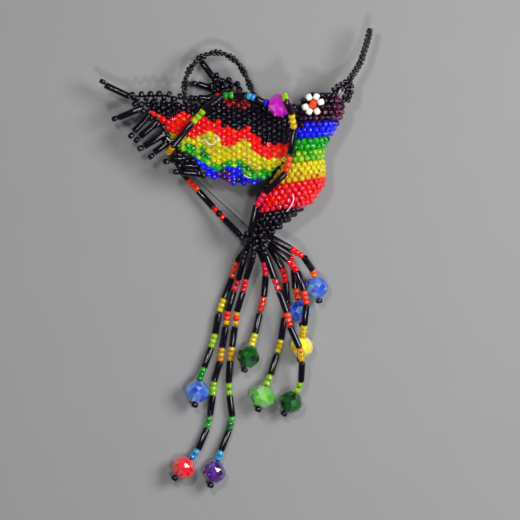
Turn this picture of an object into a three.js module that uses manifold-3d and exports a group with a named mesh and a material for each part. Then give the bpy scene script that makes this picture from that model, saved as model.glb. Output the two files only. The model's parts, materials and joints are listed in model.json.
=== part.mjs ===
// A beaded hummingbird ornament, lying on its side on a flat surface, in millimetres.
// +Z is up off the surface, +Y runs from the tassels to the tip of the beak, +X from the wing tips to the breast.
// The origin is the middle of the bottom of the whole object's box.
import * as THREE from "three";
import { mergeVertices } from "three/addons/utils/BufferGeometryUtils.js";
import Module from "manifold-3d";

const wasm = await Module();
wasm.setup();

// Driving dimensions
const SEED_R = 0.95; // an 11/0 seed bead, 1.9 mm across
const SEED_PITCH = 1.45; // from bead to bead along a thread
const BUGLE_R = 0.9; // a 7 mm long, 1.8 mm thick bugle bead
const THREAD_R = 0.35;
const RAIL_R = 0.5; // the row of thread and beads that edges a wing
const GAP = 0.3; // between neighbouring pieces
const KNEE_GAP = 0.25; // each side of the point where a strand is divided
const WING_THICKNESS = 1.6; // one layer of seed beads
const CRYSTAL_HALF = 2.7; // half a crystal's thickness along its bore, unless its strand says otherwise
const CRYSTAL_BORE_R = 0.75;
const CRYSTAL_TABLE = 0.55; // the flat end's radius, as a share of the crystal's
const CRYSTAL_SIDES = 8;
const GIRDLE_HALF = 0.5; // half the height of the crystal's straight rim
const SIDES = 6;
const BODY_SIDES = 16;
const BEAD_END = 0.5; // a seed bead's radius at its ends, as a share of its radius
const LAP = 0.12; // how far one length of beads runs into the next within a link
const BASE_POINT = new THREE.Vector3(0.18, -0.17, -0.01); // the box's bottom centre, in the layout's own coordinates

const COLOURS = {
  black: 0x0b0b0e,
  purple_black: 0x1a1020,
  blue: 0x1c2fae,
  green: 0x1c8a2a,
  lime: 0x9bd21c,
  yellow: 0xf2d21a,
  orange: 0xf0641a,
  red: 0xd01c1c,
  white: 0xf0ead8,
  pink: 0xe0128c,
  purple: 0x3a1260,
  dark_green: 0x0c4a26,
};

function material(colour) {
  return new THREE.MeshStandardMaterial({ color: COLOURS[colour], roughness: 0.25, metalness: 0 });
}

function solid(geometry) {
  const plain = geometry.index ? geometry.clone() : geometry;
  plain.deleteAttribute("normal");
  plain.deleteAttribute("uv");
  const merged = mergeVertices(plain, 1e-4);
  return new wasm.Manifold(
    new wasm.Mesh({
      numProp: 3,
      vertProperties: merged.attributes.position.array,
      triVerts: new Uint32Array(merged.index.array),
    }),
  );
}

function geometryOf(made) {
  const { numProp, vertProperties, triVerts } = made.getMesh();
  const corners = [];
  for (const v of triVerts) {
    corners.push(...vertProperties.subarray(v * numProp, v * numProp + 3));
  }
  const geometry = new THREE.BufferGeometry();
  geometry.setAttribute("position", new THREE.Float32BufferAttribute(corners, 3));
  geometry.computeVertexNormals();
  return geometry;
}

function node(name, geometry, colour) {
  const mesh = new THREE.Mesh(geometry, material(colour));
  mesh.name = name;
  return mesh;
}

function union(pieces) {
  return geometryOf(wasm.Manifold.union(pieces));
}

const point = (p) => new THREE.Vector3(...p);

// A geometry that stands along Y, turned to lie along a direction and moved to a place.
function aimed(geometry, place, direction) {
  const turn = new THREE.Quaternion().setFromUnitVectors(new THREE.Vector3(0, 1, 0), direction);
  return geometry.applyQuaternion(turn).translate(place.x, place.y, place.z);
}

// A turned piece with its axis from a to b. The profile gives radii and how far along each one is, from 0 to 1.
function turned(a, b, profile) {
  const length = a.distanceTo(b);
  const ends = [[0, profile[0][1]], ...profile, [0, profile.at(-1)[1]]];
  const outline = ends.map(([radius, along]) => new THREE.Vector2(radius, along * length));
  return solid(aimed(new THREE.LatheGeometry(outline, SIDES), a, unit(a, b)));
}

// Each length of thread or bugle runs a little into its neighbours, so that a link is one solid.
function rod(a, b, radius) {
  const overrun = LAP / a.distanceTo(b);
  return turned(a, b, [[radius, -overrun], [radius, 1 + overrun]]);
}

function bead(place, direction, radius, length) {
  const half = direction.clone().multiplyScalar(length / 2);
  const [low, high] = [place.clone().sub(half), place.clone().add(half)];
  return turned(low, high, [[BEAD_END * radius, 0], [radius, 0.5], [BEAD_END * radius, 1]]);
}

function unit(a, b) {
  return b.clone().sub(a).normalize();
}

// Seed beads threaded in a row from a to b, in contact with one another.
function seedRow(a, b, radius = SEED_R) {
  const length = a.distanceTo(b);
  const count = Math.max(1, Math.round(length / SEED_PITCH));
  const overrun = LAP / length;
  const profile = [[THREAD_R, -overrun]];
  for (let i = 0; i < count; i++) {
    profile.push([radius, (i + 0.5) / count], [THREAD_R, (i + 1) / count]);
  }
  profile.at(-1)[1] += overrun;
  return turned(a, b, profile);
}

// The beads along a route. Each letter is the stretch to the next point: b a bugle, s seed beads.
function beadedRun(route, letters) {
  return [...letters].map((letter, i) =>
    letter === "b" ? rod(route[i], route[i + 1], BUGLE_R) : seedRow(route[i], route[i + 1]),
  );
}

// A faceted rondelle with a bore, which turns on the thread.
function crystal(place, direction, radius, half) {
  const table = CRYSTAL_TABLE * radius;
  const profile = [
    [CRYSTAL_BORE_R, -half],
    [table, -half],
    [radius, -GIRDLE_HALF],
    [radius, GIRDLE_HALF],
    [table, half],
    [CRYSTAL_BORE_R, half],
    [CRYSTAL_BORE_R, -half],
  ].map(([r, h]) => new THREE.Vector2(r, h));
  return geometryOf(solid(aimed(new THREE.LatheGeometry(profile, CRYSTAL_SIDES), place, direction)));
}

// A strand of the tassel: links named NAME_upper and NAME_lower divided at the knee, or one link where it has none,
// and a crystal on the thread above a stopper bead.
function strand({ name, route, letters, knee, end, colour, radius, half = CRYSTAL_HALF }) {
  const points = route.map(point);
  const parts = [];
  const last = points.at(-1);
  const tail = [];
  if (end) {
    const along = unit(last, point(end));
    const centre = last.clone().addScaledVector(along, half + GAP);
    const stopper = centre.clone().addScaledVector(along, half + GAP + SEED_R * 0.7);
    tail.push(rod(last, stopper, THREAD_R), bead(stopper, along, SEED_R, SEED_PITCH));
    parts.push(node(`${name}_crystal`, crystal(centre, along, radius, half), colour));
  }
  if (knee === undefined) {
    parts.push(node(name, union([...beadedRun(points, letters), ...tail]), "black"));
    return parts;
  }
  const pin = points[knee];
  const before = pin.clone().addScaledVector(unit(pin, points[knee - 1]), KNEE_GAP);
  const after = pin.clone().addScaledVector(unit(pin, points[knee + 1]), KNEE_GAP);
  const upper = beadedRun([...points.slice(0, knee), before], letters.slice(0, knee));
  const lower = beadedRun([after, ...points.slice(knee + 1)], letters.slice(knee));
  parts.push(node(`${name}_upper`, union(upper), "black"));
  parts.push(node(`${name}_lower`, union([...lower, ...tail]), "black"));
  return parts;
}

const STRANDS = [
  {
    name: "strand_1",
    route: [
      [3.4, 3.2, 3.6], [0.4, -0.9, 2.4], [-0.9, -5.3, 1.4], [-3.1, -10.9, 1.1], [-4.5, -14.7, 1.1],
      [-5.5, -20.4, 1.1], [-6.6, -24.2, 1.2], [-8.5, -29.6, 2.0], [-9.9, -33.1, 3.1],
    ],
    letters: "bsbsbsbs",
    knee: 4,
    end: [-10.4, -36.0, 3.45],
    colour: "blue",
    radius: 3.4,
  },
  {
    name: "strand_2",
    route: [
      [3.3, 3.6, 5.7], [2.2, -0.1, 5.2], [0.7, -5.8, 3.6], [-0.4, -8.8, 2.6], [-2.0, -14.2, 1.6],
      [-2.6, -18.2, 1.1], [-3.6, -24.2, 1.1], [-4.2, -27.9, 1.1], [-5.8, -33.3, 1.1], [-6.1, -37.1, 1.1],
      [-6.9, -42.5, 1.1], [-7.7, -46.0, 1.1], [-10.1, -51.7, 1.9], [-12.2, -54.3, 3.0],
    ],
    letters: "sbsbsbsbsbsbs",
    knee: 5,
    end: [-14.2, -56.7, 3.35],
    colour: "red",
    radius: 3.3,
  },
  {
    name: "strand_3",
    route: [
      [5.0, 3.5, 7.6], [4.6, -0.2, 7.2], [2.8, -5.5, 5.2], [2.0, -9.0, 4.0], [0.4, -14.4, 2.7],
      [-0.1, -18.2, 1.9], [-0.9, -23.9, 1.2], [-1.5, -27.7, 1.1], [-1.8, -33.6, 1.1], [-1.6, -37.1, 1.1],
      [-0.9, -42.8, 1.1], [-1.8, -46.6, 1.1], [-3.9, -52.0, 2.0], [-5.0, -54.9, 3.0],
    ],
    letters: "sbsbsbsbsbsbs",
    knee: 5,
    end: [-5.8, -57.8, 3.25],
    colour: "purple",
    radius: 3.2,
  },
  {
    name: "strand_4",
    route: [
      [6.3, 2.6, 4.6], [7.7, -0.9, 3.0], [8.2, -4.7, 2.0], [7.7, -10.4, 1.3], [6.6, -14.7, 1.2],
      [5.3, -20.4, 2.0], [4.3, -23.8, 3.0],
    ],
    letters: "bsbsbs",
    knee: 4,
    end: [3.5, -26.5, 3.15],
    colour: "dark_green",
    radius: 3.1,
  },
  {
    name: "strand_5",
    route: [
      [9.0, 3.4, 2.6], [12.6, -2.6, 2.0], [13.6, -6.6, 1.3], [13.9, -12.3, 1.1], [13.2, -16.1, 1.1],
      [12.3, -22.0, 1.1], [11.2, -25.8, 1.3], [9.5, -31.5, 2.2], [8.1, -34.5, 3.4],
    ],
    letters: "bsbsbsbs",
    knee: 6,
    end: [7.2, -37.4, 3.65],
    colour: "lime",
    radius: 3.6,
  },
  {
    name: "strand_6",
    route: [
      [7.2, 3.4, 7.8], [8.2, 0.7, 7.4], [10.5, -5.5, 7.3], [11.7, -8.8, 7.4], [13.9, -14.7, 7.8],
      [14.7, -18.5, 8.2], [17.3, -24.2, 8.3], [18.0, -27.9, 6.6], [17.7, -33.3, 4.6], [16.4, -36.2, 3.2],
    ],
    letters: "sbsbsbsbs",
    knee: 7,
    end: [14.9, -38.8, 3.35],
    colour: "dark_green",
    radius: 3.3,
  },
  {
    name: "strand_7",
    route: [
      [9.0, 4.2, 6.7], [14.2, -0.5, 6.0], [16.7, -3.6, 6.2], [18.5, -8.8, 7.0], [19.2, -12.6, 7.9],
      [18.6, -18.1, 7.0], [18.1, -21.0, 4.2],
    ],
    letters: "bsbsbs",
    end: [17.8, -23.9, 3.25],
    colour: "yellow",
    radius: 3.2,
  },
  {
    name: "strand_8",
    route: [
      [8.5, 6.3, 9.9], [14.9, 2.6, 9.2], [18.4, 0.4, 8.6], [20.7, -3.0, 4.4], [21.4, -4.9, 3.4],
    ],
    letters: "bsbs",
    knee: 2,
    end: [21.9, -7.7, 3.25],
    colour: "blue",
    radius: 3.2,
  },
  {
    name: "strand_9",
    route: [
      [9.6, 4.1, 4.6], [14.9, 0.7, 3.2], [15.8, -3.1, 2.2], [16.1, -8.2, 1.8], [16.9, -11.3, 3.1],
    ],
    letters: "bsbs",
    end: [17.4, -14.2, 3.25],
    colour: "blue",
    radius: 3.2,
  },
  {
    name: "strand_over_body",
    route: [
      [4.0, 6.9, 10.1], [5.6, 14.2, 11.8], [8.1, 17.7, 13.7], [13.6, 23.1, 15.3], [14.7, 27.9, 15.5],
      [15.8, 35.1, 17.2], [15.1, 38.9, 20.2], [13.6, 42.7, 21.5], [13.2, 44.4, 19.9],
    ],
    letters: "bsbsbsbs",
    knee: 4,
  },
  {
    name: "strand_under_wing",
    route: [
      [2.3, 5.0, 8.4], [1.1, 6.3, 8.0], [-3.0, 10.5, 5.0], [-5.9, 13.6, 3.4], [-10.1, 18.2, 2.8],
      [-13.1, 21.5, 3.2], [-17.0, 27.7, 6.0],
    ],
    letters: "sbsbsb",
  },
  {
    name: "strand_over_wing",
    route: [
      [-18.3, 28.4, 6.9], [-17.0, 30.1, 11.4], [-11.6, 36.6, 11.9], [-8.5, 40.0, 12.3], [-3.4, 43.9, 13.2],
      [-0.3, 44.1, 13.6], [3.1, 44.0, 15.0], [5.4, 43.2, 15.7], [7.7, 42.1, 16.2], [8.8, 41.8, 16.5],
    ],
    letters: "sbsbsbsbs",
    end: [12.0, 41.4, 16.6],
    colour: "pink",
    radius: 3.5,
    half: 3.0,
  },
];

// The body's cross-sections: place along Y, centre in X, half width, half depth, height of the centre.
const BODY_SECTIONS = [
  [4.9, 5.2, 2.1, 2.4, 5.4],
  [7.0, 7.3, 3.6, 3.7, 6.0],
  [9.0, 9.0, 5.1, 5.0, 6.6],
  [11.7, 11.0, 6.4, 5.9, 7.0],
  [14.4, 13.3, 8.4, 6.8, 7.1],
  [18.5, 15.0, 9.4, 7.0, 7.2],
  [22.0, 16.4, 8.1, 6.8, 7.3],
  [26.3, 18.0, 6.1, 6.2, 7.6],
  [29.0, 18.6, 5.6, 5.8, 7.9],
  [32.5, 20.0, 6.1, 5.8, 8.2],
  [37.7, 22.6, 6.3, 6.0, 8.6],
  [40.6, 23.0, 6.7, 5.7, 8.6],
  [43.2, 23.5, 5.4, 4.6, 8.6],
  [44.9, 24.2, 2.9, 2.8, 8.6],
];

// The rounds of bead colour from the tail to the crown: name, colour, where it starts and ends along Y.
const BODY_BANDS = [
  ["tail_base", "black", 4.9, 9.0],
  ["rump", "black", 9.0, 13.2],
  ["belly_red", "red", 13.2, 20.6],
  ["breast_yellow", "yellow", 20.6, 26.0],
  ["breast_lime", "lime", 26.0, 29.2],
  ["throat_green", "green", 29.2, 32.5],
  ["throat_blue", "blue", 32.5, 37.0],
  ["head", "purple_black", 37.0, 44.9],
];

function sectionAt(y) {
  const above = BODY_SECTIONS.findIndex((s) => s[0] >= y - 1e-9);
  const high = BODY_SECTIONS[Math.max(1, above)];
  const low = BODY_SECTIONS[Math.max(1, above) - 1];
  const share = (y - low[0]) / (high[0] - low[0]);
  return low.map((value, i) => value + share * (high[i] - value));
}

// A barrel between two heights whose wall follows the body's cross-sections.
function bodyBand(from, to) {
  const [low, high] = [from + GAP / 2, to - GAP / 2];
  const inner = BODY_SECTIONS.map((s) => s[0]).filter((y) => y > low + 0.5 && y < high - 0.5);
  const levels = [low, ...inner, high];
  const rings = levels.length - 1;
  const barrel = new THREE.CylinderGeometry(1, 1, rings, BODY_SIDES, rings);
  const at = barrel.attributes.position;
  for (let i = 0; i < at.count; i++) {
    const level = levels[Math.round(at.getY(i) + rings / 2)];
    const [y, x, halfWidth, halfDepth, height] = sectionAt(level);
    at.setXYZ(i, x + halfWidth * at.getX(i), y, height + halfDepth * at.getZ(i));
  }
  return geometryOf(solid(barrel));
}

function body() {
  return BODY_BANDS.map(([name, colour, from, to]) => node(name, bodyBand(from, to), colour));
}

// The beak: a single row of beads that thickens towards the head and parts in two at its base.
const BEAK_CURVE = [
  [30.4, 47.4, 8.6], [31.2, 48.9, 8.5], [32.3, 50.5, 8.4], [33.2, 52.0, 8.3], [34.0, 53.5, 8.2],
  [34.4, 55.0, 8.1], [34.9, 56.4, 8.0], [35.4, 58.0, 7.9], [35.9, 59.8, 7.8], [36.3, 61.6, 7.7],
];
const BEAK_BRANCHES = [
  [[30.4, 47.4, 8.6], [29.0, 46.6, 8.6], [27.6, 45.8, 8.6]],
  [[30.4, 47.4, 8.6], [30.8, 45.6, 8.6], [30.2, 43.9, 8.6], [29.6, 42.2, 8.6]],
];
const BEAK_BASE_R = 1.15;
const BEAK_TIP_R = 0.8;

function beak() {
  const pieces = [];
  [BEAK_CURVE, ...BEAK_BRANCHES].forEach((line, branch) => {
    const points = line.map(point);
    points.slice(1).forEach((p, i) => {
      const from = points[i];
      const share = branch === 0 ? i / (points.length - 2) : 0.6;
      const radius = THREE.MathUtils.lerp(BEAK_BASE_R, BEAK_TIP_R, share);
      pieces.push(seedRow(from, p, radius));
    });
  });
  return node("beak", union(pieces), "black");
}

// The eyes: a white ring of six petal beads around an orange bead, one on each side of the head.
const EYE_CENTRE = [20.9, 41.6];
const EYE_HEIGHTS = { near: 15.1, far: 1.95 };
const PETAL_RING_R = 2.15;
const PETAL_COUNT = 6;
const PETAL_CORE_R = 0.35;
const UP = new THREE.Vector3(0, 0, 1);

function eye(side) {
  const centre = point([...EYE_CENTRE, EYE_HEIGHTS[side]]);
  const ring = new THREE.TorusGeometry(PETAL_RING_R, PETAL_CORE_R, 4, PETAL_COUNT);
  const pieces = [solid(ring.translate(centre.x, centre.y, centre.z))];
  for (let i = 0; i < PETAL_COUNT; i++) {
    const turn = (i / PETAL_COUNT) * 2 * Math.PI;
    const away = new THREE.Vector3(Math.cos(turn), Math.sin(turn), 0);
    pieces.push(bead(centre.clone().addScaledVector(away, PETAL_RING_R), UP, SEED_R, 1.5));
  }
  return [
    node(`eye_${side}_petals`, union(pieces), "white"),
    node(`eye_${side}_centre`, geometryOf(bead(centre, UP, SEED_R + 0.05, 1.6)), "orange"),
  ];
}

// A wing is laid out flat and hinged along the body: zigzag lines divide its colours, root to the right.
const WINGS = {
  near: {
    hinge: [14.5, 0, 12.9],
    droop: -0.117, // radians, so that the tip is lower than the root
    lines: [
      [
        [-25.2, 42.3], [-23.9, 42.1], [-18.8, 42.6], [-12.8, 41.4], [-9.6, 41.0], [-7.7, 39.4], [-3.6, 42.6],
        [1.2, 42.8], [5.5, 41.3], [9.3, 39.9], [14.2, 38.9],
      ],
      [
        [-24.3, 41.3], [-22.3, 39.6], [-18.5, 38.2], [-13.6, 39.6], [-6.8, 38.0], [-0.7, 34.7], [3.6, 35.5],
        [7.4, 30.9], [10.9, 31.2], [14.2, 30.9],
      ],
      [
        [-18.0, 34.2], [-16.0, 33.5], [-12.0, 32.5], [-6.6, 35.0], [-2.6, 30.1], [2.8, 32.8], [5.5, 27.7],
        [10.9, 27.1], [13.6, 27.7],
      ],
      [[-17.2, 31.8], [-14.4, 31.1], [-8.8, 30.1], [-5.8, 25.8], [1.5, 26.6], [4.2, 23.6], [10.9, 24.4]],
      [[-12.6, 28.7], [-11.0, 27.7], [-5.7, 23.4], [0.4, 25.2], [3.2, 21.6], [6.5, 21.5], [8.6, 22.5]],
      [[-11.2, 27.0], [-7.6, 22.6], [-3.1, 20.9], [0.1, 20.2], [3.2, 20.2], [6.5, 20.6]],
    ],
    edge: [
      [-8.8, 21.6], [-9.4, 22.7], [-10.2, 24.8], [-13.4, 27.0], [-18.4, 31.2], [-18.9, 33.6], [-20.9, 36.9],
      [-23.1, 38.7], [-25.2, 40.6], [-28.5, 43.6], [-24.7, 43.8], [-21.2, 43.9], [-18.8, 43.9], [-15.8, 43.3],
      [-12.8, 42.9], [-9.9, 42.4], [-8.0, 40.9], [-3.6, 44.1], [-0.4, 44.3], [5.3, 42.8], [8.8, 41.4],
    ],
    feathers: [
      [[-28.5, 43.6], [-35.2, 46.8], [-35.9, 47.7]],
      [[-25.2, 40.6], [-31.7, 37.9], [-32.6, 37.7]],
      [[-23.1, 38.7], [-27.5, 34.2], [-28.2, 33.1]],
      [[-20.9, 36.9], [-25.8, 32.8], [-26.7, 31.9]],
      [[-18.9, 33.6], [-24.7, 30.2], [-25.7, 29.7]],
      [[-18.4, 31.2], [-22.0, 28.5], [-22.8, 27.5]],
      [[-13.4, 27.0], [-17.7, 26.5], [-18.7, 26.1]],
      [[-10.2, 24.8], [-14.4, 25.0], [-15.3, 25.0]],
      [[-9.4, 22.7], [-15.0, 23.2], [-16.0, 23.3]],
    ],
  },
  far: {
    hinge: [12.8, 0, 3.4],
    droop: -0.1,
    lines: [
      [[-5.0, 47.5], [-0.9, 45.6], [3.9, 43.0], [9.3, 41.4], [12.4, 39.8]],
      [[-4.9, 44.2], [-1.0, 42.6], [3.4, 40.2], [8.0, 39.4], [12.4, 36.6]],
      [[-4.6, 41.6], [-0.6, 39.6], [3.4, 37.0], [8.0, 36.2], [12.4, 33.4]],
      [[-3.6, 38.8], [0.0, 36.6], [3.8, 34.0], [8.0, 33.4], [12.4, 31.0]],
      [[-2.0, 36.2], [1.0, 33.6], [4.2, 31.0], [8.0, 30.4], [12.4, 28.8]],
      [[0.0, 33.8], [3.0, 30.2], [7.2, 27.4], [12.4, 26.6]],
    ],
    edge: [
      [-4.6, 39.2], [-6.0, 43.1], [-6.2, 45.8], [-6.1, 49.0], [-4.2, 48.7], [-2.6, 47.8], [-0.4, 46.9],
      [1.8, 45.7],
    ],
    feathers: [
      [[-6.1, 49.0], [-9.3, 53.1], [-9.8, 54.0]],
      [[-6.2, 45.8], [-10.2, 47.1], [-11.1, 47.2]],
      [[-6.0, 43.1], [-10.0, 43.3], [-10.9, 43.2]],
      [[-4.6, 39.2], [-8.8, 38.6], [-9.7, 38.4]],
    ],
  },
};
const WING_COLOURS = ["black", "red", "yellow", "green", "blue"];

// The flat panel of one colour, between two zigzag lines.
function wingPanel(upper, lower) {
  const top = upper.map(([x, y]) => new THREE.Vector2(x, y - GAP / 2));
  const bottom = lower.map(([x, y]) => new THREE.Vector2(x, y + GAP / 2));
  const outline = new THREE.Shape([...top, ...bottom.reverse()]);
  return new THREE.ExtrudeGeometry(outline, { depth: WING_THICKNESS, bevelEnabled: false })
    .translate(0, 0, -WING_THICKNESS / 2);
}

// The edge row of a wing as one rail, with the bugle feathers and their stopper beads.
function wingFringe({ edge, feathers }) {
  const flat = ([x, y]) => new THREE.Vector3(x, y, 0);
  const pieces = [];
  edge.slice(1).forEach((p, i) => {
    pieces.push(rod(flat(edge[i]), flat(p), RAIL_R));
  });
  for (const [inner, outer, stopper] of feathers) {
    pieces.push(rod(flat(inner), flat(outer), BUGLE_R), rod(flat(outer), flat(stopper), THREAD_R));
    pieces.push(bead(flat(stopper), unit(flat(outer), flat(stopper)), SEED_R, SEED_PITCH));
  }
  return union(pieces);
}

function wing(side) {
  const { hinge, droop, lines } = WINGS[side];
  const group = new THREE.Group();
  group.position.set(...hinge);
  group.rotation.y = droop;
  WING_COLOURS.forEach((colour, i) => {
    const panel = geometryOf(solid(wingPanel(lines[i], lines[i + 1])));
    group.add(node(`${side}_wing_${colour}`, panel.translate(-hinge[0], 0, 0), colour));
  });
  group.add(node(`${side}_wing_fringe`, wingFringe(WINGS[side]).translate(-hinge[0], 0, 0), "black"));
  return group;
}

// The hanging loop, a rope of two twisted bead strings. Both its legs run between the wings to the bird's back.
const LOOP_ROUTE = [
  [13.1, 37.3, 7.6], [7.2, 38.1, 7.0], [0.1, 39.0, 6.6], [-6.9, 40.0, 6.4], [-11.5, 40.9, 6.2],
  [-13.4, 43.1, 6.2], [-13.8, 45.4, 6.2], [-13.6, 47.7, 6.2], [-12.8, 50.2, 6.2], [-11.0, 52.7, 6.2],
  [-8.8, 54.5, 6.2], [-5.9, 55.5, 6.2], [-3.1, 55.2, 6.2], [-0.3, 53.6, 6.2], [1.6, 51.4, 6.2],
  [3.1, 48.6, 6.2], [4.2, 45.9, 6.2], [5.8, 43.1, 6.6], [8.8, 40.8, 7.2], [12.6, 39.9, 7.6],
];
const LOOP_R = 0.85;
const LOOP_STEPS = 40;

function hangingLoop() {
  const path = new THREE.CatmullRomCurve3(LOOP_ROUTE.map(point));
  const section = new THREE.Shape().absarc(0, 0, LOOP_R, 0, 2 * Math.PI);
  const options = { steps: LOOP_STEPS, curveSegments: SIDES / 2, extrudePath: path, bevelEnabled: false };
  return node("hanging_loop", geometryOf(solid(new THREE.ExtrudeGeometry(section, options))), "black");
}

const ornament = new THREE.Group();
ornament.add(...body(), beak(), ...eye("near"), ...eye("far"));
ornament.add(wing("near"), wing("far"), hangingLoop());
STRANDS.forEach((s) => ornament.add(...strand(s)));
ornament.position.copy(BASE_POINT).negate();

const root = new THREE.Group();
root.add(ornament);

export default root;
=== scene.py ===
"""Looks of the beaded hummingbird ornament: every bead, crystal and thread has its own shape."""

import json
import math
import random

import bpy
import numpy as np
from mathutils import Matrix, Vector
from mathutils.bvhtree import BVHTree


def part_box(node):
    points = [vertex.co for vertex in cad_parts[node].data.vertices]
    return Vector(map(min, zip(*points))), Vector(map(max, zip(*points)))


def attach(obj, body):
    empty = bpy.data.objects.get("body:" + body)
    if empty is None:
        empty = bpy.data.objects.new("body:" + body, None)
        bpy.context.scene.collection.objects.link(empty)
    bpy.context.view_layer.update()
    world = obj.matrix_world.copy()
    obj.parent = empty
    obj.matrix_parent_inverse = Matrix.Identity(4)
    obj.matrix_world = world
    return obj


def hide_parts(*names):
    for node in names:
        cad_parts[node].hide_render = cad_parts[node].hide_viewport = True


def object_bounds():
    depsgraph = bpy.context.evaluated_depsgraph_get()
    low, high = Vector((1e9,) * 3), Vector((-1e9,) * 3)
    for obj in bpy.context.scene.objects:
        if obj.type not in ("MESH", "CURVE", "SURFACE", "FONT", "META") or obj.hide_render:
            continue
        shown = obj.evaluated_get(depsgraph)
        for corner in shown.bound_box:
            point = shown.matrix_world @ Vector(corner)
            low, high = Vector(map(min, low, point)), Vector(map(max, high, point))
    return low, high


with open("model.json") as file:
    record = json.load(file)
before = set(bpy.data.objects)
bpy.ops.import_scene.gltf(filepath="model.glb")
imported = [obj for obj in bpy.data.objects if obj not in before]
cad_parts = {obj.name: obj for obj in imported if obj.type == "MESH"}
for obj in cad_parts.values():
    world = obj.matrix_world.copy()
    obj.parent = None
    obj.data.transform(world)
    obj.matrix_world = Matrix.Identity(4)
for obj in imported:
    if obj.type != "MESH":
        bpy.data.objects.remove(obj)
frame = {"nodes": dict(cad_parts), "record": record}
cad_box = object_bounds()

# ---- sizes, in millimetres as in the CAD model
MM = 0.001
BASE_POINT = Vector((0.18, -0.17, -0.01))  # the frame's origin in the layout's own coordinates

# Beads and threads. A spread is the smallest and largest share of the usual size that a bead takes.
SEED_R = 0.95
SEED_LENGTH = 1.42
SEED_PITCH = 1.45
SEED_R_SPREAD = (0.95, 1.03)
SEED_LENGTH_SPREAD = (0.92, 1.05)
SEED_WOBBLE = 0.06  # how far a bead's axis is pushed aside, as a share of its direction
BUGLE_R = 0.9
BUGLE_PLAY = 0.08  # a bugle is this much shorter than its stretch of thread
BUGLE_RIM = 0.14  # the rounding of a bugle's rims
THREAD_R = 0.16
THREAD_END_R = 0.12  # the loose white ends, pulled thin
STOPPER_HALF = SEED_R * 0.7
THREAD_TAIL = 0.5  # the thread goes on this far past a stopper bead's middle
CRYSTAL_HALF = 2.7
CRYSTAL_SIDES = 10
GAP = 0.3
KNEE_GAP = 0.25

# Body
BODY_ROW_PITCH = 1.4
BODY_RING_PITCH = 1.56
BODY_SEED_R = 0.88
BODY_SEED_LENGTH = 1.42
BODY_WOBBLE = 0.45
SHELL_DEPTH = 0.8  # from the body's outline in to the middle of its beads
SHELL_MIN = 0.6  # the least half size of a round of beads
LINING_DEPTH = 1.5  # from the body's outline in to the lining
LINING_MIN = 0.2  # the least half size of the lining
LINING_LEVELS = 5
LINING_SIDES = 24
TILT_PLACES = [5.0, 10.0, 16.0, 24.0, 34.0, 40.0]  # along the body
TILTS = [0.0, 0.16, 0.2, 0.14, 0.08, 0.0]  # how far a row climbs towards +X at each of those places

# Beak and eyes
BEAK_BEAD_R = 0.62
BEAK_APART = 0.66  # between the two rows of beads
BEAK_PITCH = 1.16
BRANCH_BEAD_R = 0.72
BRANCH_APART = 1.25
BRANCH_PITCH = 1.2
BEAK_FILL = 0.92  # a bead's length as a share of the pitch
BEAK_WOBBLE = 0.25
BEAK_TIP_R = 0.78
BEAK_TIP_LENGTH = 1.1
PETAL_TURNS = [15.0, 65.0, 120.0, 200.0, 243.0, 300.0]
PETAL_RING_R = 2.2
PETAL_R = 0.98
PETAL_LENGTH = 1.75
EYE_BEAD_R = 0.95
EYE_BEAD_LENGTH = 2.3
EYE_BEAD_AXIS = (0.45, 1.0, 0.0)

# Wings
WING_PITCH_X = 1.36
WING_PITCH_Y = 1.56
WING_SEED_R = 0.86
WING_SEED_LENGTH = 1.25
WING_WOBBLE = 0.35
WING_DRIFT = 0.1  # a bead's place in the plan is off by up to this much
WING_DEPTH_DRIFT = 0.18
WING_THREAD_R = 0.12
WING_THREAD_REACH = 2.4  # beads further apart than this have no thread between them
WING_LINING_SHARE = 0.12  # the lining's thickness as a share of the wing's
EDGE_PITCH = 1.35
EDGE_ZIGZAG = 0.5  # how far the beads of a wing's edge stand to either side of its thread
WING_LEAN = (0.6, 0.8)  # the usual direction of a panel bead's axis in the plan
WING_LEAN_DRIFT = 0.9
STOPPER_TILT = 0.6  # how far the stopper bead of a feather is turned up
ABOVE_WINGS = 40.0

# Stage, in metres
PHOTO_SPAN = 0.1404  # across the picture
VIEW_SHIFT = Vector((6.4, -0.3, 0.0)) * MM  # the picture's centre from the object's centre
CAMERA_HEIGHT = 0.6
CAMERA_REACH = 5.0
FLOOR_HALF = 4.0
FLOOR_DROP = 0.0002
FLOOR_TONES = [(0.25, 0.25, 0.254, 1.0), (0.26, 0.26, 0.264, 1.0)]
WORLD_COLOUR = (1.0, 1.0, 1.02, 1.0)
WORLD_LIGHT = 0.13
LAMPS = {  # place, size and power
    "key": ((0.32, 0.1, 0.36), 0.22, 2.4),
    "top": ((-0.1, 0.16, 0.5), 0.05, 0.8),
    "front": ((0.06, -0.18, 0.5), 0.05, 0.75),
}

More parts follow.
